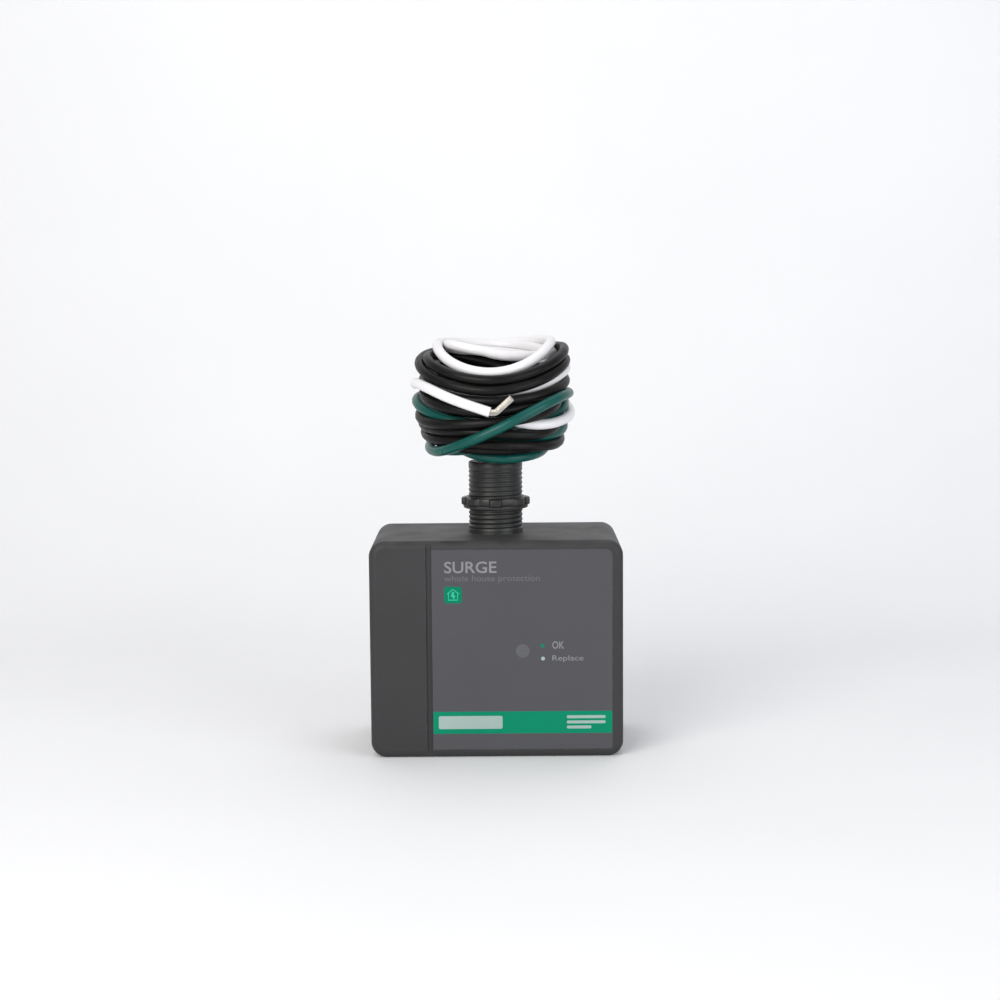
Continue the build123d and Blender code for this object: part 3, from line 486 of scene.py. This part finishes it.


# one smooth curve for each lead: the listed points of its free stretch, then the settled turns
wanted = [wantedTurns(spec) for spec in leads.values()]
freeStretches = [splineSamples(spec["route"]) for spec in leads.values()]
settled = settleTurns(wanted, freeStretches)
coreEnds = {}
for (leadName, spec), turnPoints, stretch in zip(leads.items(), settled, freeStretches):
    used = lead["length"] - lead["bareLength"] - lengthOf(stretch)
    along = np.concatenate(([0], np.cumsum(np.linalg.norm(np.diff(turnPoints, axis=0), axis=1))))
    keep = turnPoints[along <= used][coil["firstKept"]::coil["everyKept"]]
    points = np.vstack((np.array(spec["route"]), keep))
    line = bpy.data.curves.new(leadName + "_cord", "CURVE")
    line.dimensions = "3D"
    spline = line.splines.new("NURBS")
    spline.points.add(len(points) - 1)
    spline.points.foreach_set("co", np.column_stack((points, np.ones(len(points)))).ravel())
    spline.order_u = 3
    spline.use_endpoint_u = True
    spline.resolution_u = lead["stepsPerPoint"]
    line.bevel_depth = lead["diameter"] / 2
    line.bevel_resolution = lead["roundness"]
    line.use_fill_caps = True
    line.materials.append(finishes[spec["material"] + "_insulation"])
    cordObject = bpy.data.objects.new(leadName + "_cord", line)
    bpy.context.scene.collection.objects.link(cordObject)
    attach(cordObject, "case")
    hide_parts(leadName, "wire_coil")
    spec["cord"] = cordObject
    heading = points[-1] - points[-2]
    coreEnds[leadName] = (points[-1], heading / np.linalg.norm(heading))
print("leads settled and laid")


# bare ends: nineteen tinned strands twisted together; a strand's middle circles the path as it goes along it
core = {"strandRadius": 0.27, "lay": 24.0, "layers": ((1, 0.0), (6, 0.54), (12, 1.05)), "stations": 15,
        "sides": 8, "tuck": 0.6, "turnWithin": 0.0042, "sideHint": (0.1, 0.9, 0.2),
        "bends": {"white_lead": (0.742, 0.0, 0.67)}}    # the others leave straight on


# the path starts a little inside the insulation, leaves along the lead and turns smoothly to its own heading
def strandedCore(start, heading, turnTo):
    s = np.linspace(-core["tuck"] * mm, lead["bareLength"], core["stations"])
    share = np.clip(s / core["turnWithin"], 0, 1)
    share = (share * share * (3 - 2 * share))[:, None]
    way = heading * (1 - share) + turnTo * share
    way /= np.linalg.norm(way, axis=1)[:, None]
    step = np.diff(s, prepend=s[0])[:, None]
    path = start + heading * s[0] + np.cumsum(way * step, axis=0)
    side = np.cross(way, core["sideHint"])
    side /= np.linalg.norm(side, axis=1)[:, None]
    other = np.cross(way, side)
    points, faces = [], []
    about = np.arange(core["sides"]) * 2 * np.pi / core["sides"]
    for strandCount, layerRadius in core["layers"]:
        for strand in range(strandCount):
            spin = 2 * np.pi * (strand / strandCount + s / (core["lay"] * mm) * np.sign(layerRadius))
            reach = layerRadius * mm
            middle = path + reach * (np.cos(spin)[:, None] * side + np.sin(spin)[:, None] * other)
            ring = core["strandRadius"] * mm * (np.cos(about)[None, :, None] * side[:, None, :]
                                                + np.sin(about)[None, :, None] * other[:, None, :])
            first = sum(len(p) for p in points)
            points.append((middle[:, None, :] + ring).reshape(-1, 3))
            faces += gridFaces(core["stations"], core["sides"], first=first)
            last = first + (core["stations"] - 1) * core["sides"]
            faces.append(list(range(first + core["sides"] - 1, first - 1, -1)))
            faces.append(list(range(last, last + core["sides"])))
    return np.vstack(points), faces


for leadName, (endPoint, heading) in coreEnds.items():
    turnTo = np.array(core["bends"].get(leadName, heading))
    points, faces = strandedCore(endPoint, heading, turnTo)
    tip = addPiece(leadName + "_core", points, faces, "case", "tinned_copper")
    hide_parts("bare_ends")
print("bare ends twisted")


# nipple: hexagonal flange under the wall, then a tube with a rolled right-hand thread and a plain rim
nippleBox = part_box("threaded_nipple")
nipple = {"outer": 10.67, "bore": 7.87, "flangeFlats": 27.0, "flangeThickness": 5.0, "pitch": 1.814,
          "depth": 0.32, "threadFrom": 86.0, "plainRim": 2.0, "rimChamfer": 0.6, "rowsPerPitch": 12,
          "columns": 120, "grooveSlope": 3.4, "grooveStart": 0.35, "runOut": 0.8, "flangeEdge": 0.4,
          "footEdge": 0.3, "rimShare": 0.35, "join": 0.05}


# thread: the radius drops into a rounded groove once every pitch of height, a full turn further round
def nippleSurface(values):
    low, high = nippleBox[0][2] / mm, nippleBox[1][2] / mm
    angle = np.arange(values["columns"]) * 2 * np.pi / values["columns"]
    flats = values["flangeFlats"] / 2 / np.cos((angle % (np.pi / 3)) - np.pi / 6)
    threadTop = high - values["plainRim"]
    rows = np.arange(values["threadFrom"], threadTop, values["pitch"] / values["rowsPerPitch"])
    phase = (rows[:, None] / values["pitch"] - angle[None, :] / (2 * np.pi)) % 1
    groove = np.clip((0.5 - abs(phase - 0.5)) * values["grooveSlope"] - values["grooveStart"], 0, 1)
    groove = groove * groove * (3 - 2 * groove)
    fromEnds = np.minimum(rows - rows[0], rows[-1] - rows)
    runOut = np.clip(fromEnds / (values["runOut"] * values["pitch"]), 0, 1)[:, None]
    thread = values["outer"] - values["depth"] * (1 - groove) * runOut
    plain = np.ones(values["columns"])
    outer, bore, chamfer = values["outer"], values["bore"], values["rimChamfer"]
    top = low + values["flangeThickness"]
    foot, edge, join, slight = values["footEdge"], values["flangeEdge"], values["join"], values["rimShare"]
    radii = [plain * bore, plain * (bore + foot), flats - edge, flats, flats, flats - edge,
             plain * (outer + foot), plain * outer, plain * outer]
    heights = [low + foot, low, low, low + edge, top - edge, top, top, top + foot,
               values["threadFrom"] - join]
    endRadii = [plain * outer, plain * outer, plain * (outer - chamfer * slight), plain * (outer - chamfer),
                plain * (bore + chamfer), plain * (bore + chamfer * slight), plain * bore]
    endHeights = [threadTop + join, high - chamfer, high - chamfer * slight, high, high,
                  high - chamfer * slight, high - chamfer]
    radius = np.vstack((radii, thread, endRadii)) * mm
    height = np.concatenate((heights, rows, endHeights))[:, None] * mm
    return ringSurface(radius, height, values["columns"]), len(radius)


points, rowCount = nippleSurface(nipple)
threadedNipple = addPiece("nipple_thread", points, gridFaces(rowCount, nipple["columns"], wrapRows=True),
                          "case", "nipple_plastic")
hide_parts("threaded_nipple")
print("nipple threaded")


# locknut: a stamped ring whose outline swells into eight lugs, its edges rolled over
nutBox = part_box("locknut")
nut = {"bore": 10.74, "ring": 12.2, "lug": 13.6, "lugs": 8, "lugShare": 0.46, "lugRise": 0.07, "edge": 0.45,
       "edgeShare": 0.3, "relief": 0.35, "columns": 320}


# outline: the ring's radius plus a smooth step up and down over each lug's share of the turn
def lugOutline(values):
    angle = np.arange(values["columns"]) / values["columns"]
    phase = abs((angle * values["lugs"] + 0.5) % 1 - 0.5) * 2
    step = np.clip((values["lugShare"] + values["lugRise"] - phase) / (2 * values["lugRise"]), 0, 1)
    return values["ring"] + (values["lug"] - values["ring"]) * step * step * (3 - 2 * step)


# section: up the bore, out under the rolled edge, up the outline, back in over the edge; the lugs lie a
# little lower than the ring
def nutSurface(values):
    low, high = nutBox[0][2] / mm, nutBox[1][2] / mm
    outline, bore, edge = lugOutline(values), np.full(values["columns"], values["bore"]), values["edge"]
    level, rolled = np.zeros(values["columns"]), edge * values["edgeShare"]
    relief = values["relief"] * (outline - values["ring"]) / (values["lug"] - values["ring"])
    radii = [bore, bore + edge, outline - edge, outline - rolled, outline, outline, outline - rolled,
             outline - edge, bore + edge, bore]
    heights = [low + edge + level, low + level, low + level, low + rolled + level, low + edge + level,
               high - edge - relief, high - rolled - relief, high - relief, high + level,
               high - edge + level]
    return ringSurface(np.array(radii) * mm, np.array(heights) * mm, values["columns"])


locknut = addPiece("locknut_stamped", nutSurface(nut), gridFaces(10, nut["columns"], wrapRows=True), "nut",
                   "locknut_metal")
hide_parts("locknut")

# sealing washer: a flat rubber ring with half-round edges
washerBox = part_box("sealing_washer")
washer = {"bore": 10.74, "outer": 12.8, "columns": 160, "rows": 24, "squareness": 0.45}
turn = np.arange(washer["rows"]) * 2 * np.pi / washer["rows"]
halfHeight = (washerBox[1][2] - washerBox[0][2]) / 2
middleRadius = (washer["bore"] + washer["outer"]) / 2 * mm
halfWidth = (washer["outer"] - washer["bore"]) / 2 * mm
# section: a flattened circle, its sine and cosine raised to a small power so that it is nearly a slab
squareX, squareZ = (np.sign(wave) * abs(wave) ** washer["squareness"]
                    for wave in (np.cos(turn), np.sin(turn)))
washerRadius = (middleRadius - halfWidth * squareX)[:, None]
washerHeight = ((washerBox[0][2] + washerBox[1][2]) / 2 - halfHeight * squareZ)[:, None]
points = ringSurface(washerRadius, washerHeight, washer["columns"])
sealingWasher = addPiece("washer_rubber", points, gridFaces(washer["rows"], washer["columns"], wrapRows=True),
                         "washer", "black_rubber")
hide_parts("sealing_washer")
print("locknut and washer made")


# prints on the label: thin inks that stand a few hundredths of a millimetre off the film
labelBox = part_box("front_label")
inkLayer = {"gap": 0.000005, "front": 0.00003, "second": 0.00001, "onBack": 0.00002, "sideMargin": 0.12}
inkBack = labelBox[0][1] - inkLayer["gap"]
inkFront = labelBox[0][1] - inkLayer["front"]
overFront = inkFront - inkLayer["second"]    # ink printed over another ink


# a matt ink: an even finish with a very fine grain
def makeInk(name, base, rough=0.4):
    return makeFinish(name, base, rough=rough, change=0.04, clouds=60, grainScale=2600, grainDepth=0.000004,
                      gloss=0.12)


inks = {
    "green": makeInk("greenInk", (0.0, 0.205, 0.108)),
    "pale": makeInk("paleInk", (0.30, 0.40, 0.37)),
    "grey": makeInk("greyInk", (0.22, 0.22, 0.23)),
    "dim": makeInk("dimGreyInk", (0.13, 0.13, 0.135)),
    "icon": makeInk("iconInk", (0.0, 0.17, 0.085)),
    "line": makeInk("lineInk", (0.03, 0.42, 0.28)),
    "dot": makeInk("dotInk", (0.01, 0.16, 0.09)),
    "border": makeInk("borderInk", (0.06, 0.06, 0.065)),
}


# outline of a rounded rectangle: each corner a quarter circle, anticlockwise from the lower right
def roundedOutline(left, right, low, high, radius, perCorner=8):
    quarter = np.linspace(0, np.pi / 2, perCorner)
    turned = np.concatenate([quarter + n * np.pi / 2 for n in (-1, 0, 1, 2)])
    x = np.repeat((right - radius, right - radius, left + radius, left + radius), perCorner)
    z = np.repeat((low + radius, high - radius, high - radius, low + radius), perCorner)
    return np.column_stack((x + radius * np.cos(turned), z + radius * np.sin(turned)))


# outline of a circle: equal steps of angle about its middle
def circleOutline(x, z, radius, count=40):
    turned = np.arange(count) * 2 * np.pi / count
    return np.column_stack((x + radius * np.cos(turned), z + radius * np.sin(turned)))


# a thin filled patch: the outline at the back, the outline at the front, both closed over
def inkPatch(name, outline, ink, front=inkFront, back=inkBack, slotName="label_film"):
    count = len(outline)
    flat = np.asarray(outline, dtype=float) * mm
    points = [np.column_stack((flat[:, 0], np.full(count, y), flat[:, 1])) for y in (back, front)]
    faces = [[(n + 1) % count, (n + 1) % count + count, n + count, n] for n in range(count)]
    faces.append(list(range(count)) if back < front else list(range(count))[::-1])
    faces.append([n + count for n in (range(count - 1, -1, -1) if back < front else range(count))])
    return addPiece(name, np.vstack(points), faces, "case", slotName, inks[ink], smooth=False)


# a thin line round a closed outline: the outline, and the same drawn in towards its middle
def inkLoop(name, outline, thickness, ink, front=inkFront, back=inkBack, slotName="label_film"):
    outer = np.asarray(outline, dtype=float)
    count = len(outer)
    along = np.roll(outer, -1, axis=0) - np.roll(outer, 1, axis=0)
    along /= np.linalg.norm(along, axis=1)[:, None]
    inner = outer + thickness * np.column_stack((-along[:, 1], along[:, 0]))
    rows = [(outer, back), (outer, front), (inner, front), (inner, back)]
    points = [np.column_stack((flat[:, 0] * mm, np.full(count, y), flat[:, 1] * mm)) for flat, y in rows]
    faces = gridFaces(4, count, wrapRows=True)
    if front > back:
        faces = [face[::-1] for face in faces]
    return addPiece(name, np.vstack(points), faces, "case", slotName, inks[ink], smooth=False)


# places on the front in mm: across from the middle, up from the foot
labelLeft = labelBox[0][0] / mm + inkLayer["sideMargin"]
labelRight = labelBox[1][0] / mm - inkLayer["sideMargin"]
frontPrint = {
    "band": (labelLeft, labelRight, 9.5, 18.2, 0.05), "bandPlate": (-22.6, 2.1, 11.4, 16.5, 0.7),
    "bandLines": ((27.0, 42.0, 15.35, 16.5), (27.0, 42.0, 13.3, 14.45), (27.0, 36.5, 11.3, 12.45)),
    "greenDot": (17.7, 43.9, 0.85), "paleDot": (17.9, 38.9, 0.75),
    "icon": (-20.0, -13.2, 60.7, 67.2, 1.1), "iconLine": 0.42,
    "okWord": (21.5, 26.1, 42.7, 45.6), "replaceWord": (21.5, 33.5, 37.4, 40.1),
    "heading": (-19.9, 0.2, 72.4, 76.9), "subHeading": (-19.9, 16.8, 68.5, 71.5),
}
inkPatch("print_band", roundedOutline(*frontPrint["band"]), "green")
inkPatch("print_band_plate", roundedOutline(*frontPrint["bandPlate"]), "pale", overFront, inkFront)
for n, (left, right, low, high) in enumerate(frontPrint["bandLines"]):
    inkPatch(f"print_band_line_{n + 1}", roundedOutline(left, right, low, high, 0.5), "pale",
             overFront, inkFront)
inkPatch("print_green_dot", circleOutline(*frontPrint["greenDot"]), "dot")
inkPatch("print_pale_dot", circleOutline(*frontPrint["paleDot"]), "pale")
inkPatch("print_icon", roundedOutline(*frontPrint["icon"]), "icon")
left, right, low, high, _ = frontPrint["icon"]
midX = (left + right) / 2
house = [(left + 1.5, low + 1.1), (right - 1.5, low + 1.1), (right - 1.5, high - 2.9),
         (right - 0.8, high - 2.9), (midX, high - 0.8), (left + 0.8, high - 2.9), (left + 1.5, high - 2.9)]
inkLoop("print_icon_house", house, frontPrint["iconLine"], "line", overFront, inkFront)
bolt = [(midX + 0.25, low + 1.35), (midX + 0.95, low + 3.1), (midX + 0.2, low + 3.1),
        (midX + 0.55, low + 4.4), (midX - 0.35, low + 4.4), (midX - 0.85, low + 2.55),
        (midX - 0.1, low + 2.55)]
inkPatch("print_icon_bolt", bolt, "line", overFront, inkFront)


# words: flat letters turned to face the front and stretched to fill their box
def inkWord(name, text, place, ink, bold=0.0):
    left, right, low, high = place
    letters = bpy.data.curves.new(name, "FONT")
    letters.body = text
    letters.size = 1.0
    letters.offset = bold
    letters.extrude = 0.01
    letters.resolution_u = 4
    holder = bpy.data.objects.new(name + "_letters", letters)
    bpy.context.scene.collection.objects.link(holder)
    bpy.context.view_layer.update()
    flat = bpy.data.meshes.new_from_object(holder.evaluated_get(bpy.context.evaluated_depsgraph_get()))
    points = np.empty(len(flat.vertices) * 3)
    flat.vertices.foreach_get("co", points)
    points = points.reshape(-1, 3)
    faces = [list(face.vertices) for face in flat.polygons]
    bpy.data.objects.remove(holder)
    bpy.data.meshes.remove(flat)
    lowest, highest = points.min(axis=0), points.max(axis=0)
    share = (points - lowest) / (highest - lowest)
    x = (left + share[:, 0] * (right - left)) * mm
    z = (low + share[:, 1] * (high - low)) * mm
    y = inkBack + share[:, 2] * (inkFront - inkBack)
    return addPiece(name, np.column_stack((x, y, z)), faces, "case", "label_film", inks[ink], smooth=False)


inkWord("print_heading", "SURGE", frontPrint["heading"], "grey", 0.012)
inkWord("print_sub_heading", "whole house protection", frontPrint["subHeading"], "dim")
inkWord("print_ok", "OK", frontPrint["okWord"], "grey", 0.01)
inkWord("print_replace", "Replace", frontPrint["replaceWord"], "grey")

# the rating label on the back is left blank but for a frame and ruled lines
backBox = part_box("rear_label")
backPrint = {"inset": 1.5, "cornerRadius": 1.0, "frameLine": 0.3, "ruleInset": 4, "ruleHeight": 0.25,
             "ruleRadius": 0.1, "ruleAt": (0.3, 0.5, 0.7)}
backSurface = backBox[1][1]
backFront = backSurface + inkLayer["onBack"]
left, right = backBox[0][0] / mm, backBox[1][0] / mm
low, high = backBox[0][2] / mm, backBox[1][2] / mm
inset = backPrint["inset"]
backFrame = roundedOutline(left + inset, right - inset, low + inset, high - inset,
                           backPrint["cornerRadius"])
inkLoop("print_back_frame", backFrame, backPrint["frameLine"], "border", backFront, backSurface,
        "rating_film")
for n, rise in enumerate(backPrint["ruleAt"]):
    level = low + (high - low) * rise
    rule = roundedOutline(left + backPrint["ruleInset"], right - backPrint["ruleInset"], level,
                          level + backPrint["ruleHeight"], backPrint["ruleRadius"])
    inkPatch(f"print_back_rule_{n + 1}", rule, "border", backFront, backSurface, "rating_film")
print("prints laid on the labels")


# studio: one pale sweep of floor and wall, soft lights, a dim even sky
studio = {"floorTone": (0.86, 0.86, 0.87), "halfWidth": 1.6, "front": -1.4, "middle": -0.4, "back": 0.55,
          "height": 1.3, "bend": 0.35, "aim": (0, 0, 0.09), "skyTone": (0.82, 0.84, 0.88), "skyStrength": 0.42}

# sweep: flat floor, a quarter circle, then an upright wall, carried straight across
floorRun = np.array([(studio["front"], 0.0), (studio["middle"], 0.0), (0.0, 0.0),
                     (studio["back"] - studio["bend"], 0.0)])
quarter = np.linspace(0, np.pi / 2, 24)[1:]
bendRun = np.column_stack((studio["back"] - studio["bend"] + studio["bend"] * np.sin(quarter),
                           studio["bend"] - studio["bend"] * np.cos(quarter)))
run = np.vstack((floorRun, bendRun, [(studio["back"], studio["height"])]))
across = np.array([-studio["halfWidth"], studio["halfWidth"]])
points = np.array([(x, y, z) for y, z in run for x in across])
mesh = bpy.data.meshes.new("studioSweep")
mesh.from_pydata(points.tolist(), [], [[2 * n, 2 * n + 1, 2 * n + 3, 2 * n + 2] for n in range(len(run) - 1)])
mesh.polygons.foreach_set("use_smooth", np.ones(len(mesh.polygons), dtype=bool))
mesh.materials.append(makeFinish("sweepPaper", studio["floorTone"], rough=0.8, change=0.02, clouds=3,
                                 grainScale=500, grainDepth=0.00002))
sweep = bpy.data.objects.new("studioSweep", mesh)
bpy.context.scene.collection.objects.link(sweep)

lamps = {
    "keyLight": {"place": (-0.50, -0.85, 0.55), "size": 0.8, "power": 9.0, "tint": (1.0, 0.98, 0.95)},
    "fillLight": {"place": (0.75, -0.70, 0.30), "size": 0.9, "power": 5.0, "tint": (0.95, 0.98, 1.0)},
    "topLight": {"place": (0.05, 0.15, 0.95), "size": 0.7, "power": 1.8, "tint": (1.0, 1.0, 1.0)},
}
for lampName, spec in lamps.items():
    lampData = bpy.data.lights.new(lampName, "AREA")
    lampData.shape = "DISK"
    lampData.size = spec["size"]
    lampData.energy = spec["power"]
    lampData.color = spec["tint"]
    lamp = bpy.data.objects.new(lampName, lampData)
    lamp.location = spec["place"]
    aim = Vector(studio["aim"]) - Vector(spec["place"])
    lamp.rotation_euler = aim.to_track_quat("-Z", "Y").to_euler()
    bpy.context.scene.collection.objects.link(lamp)

sky = bpy.data.worlds.new("studioSky")
sky.use_nodes = True
sky.node_tree.nodes["Background"].inputs["Color"].default_value = (*studio["skyTone"], 1)
sky.node_tree.nodes["Background"].inputs["Strength"].default_value = studio["skyStrength"]
bpy.context.scene.world = sky
bpy.context.scene.view_settings.view_transform = "Standard"
print("studio lit")
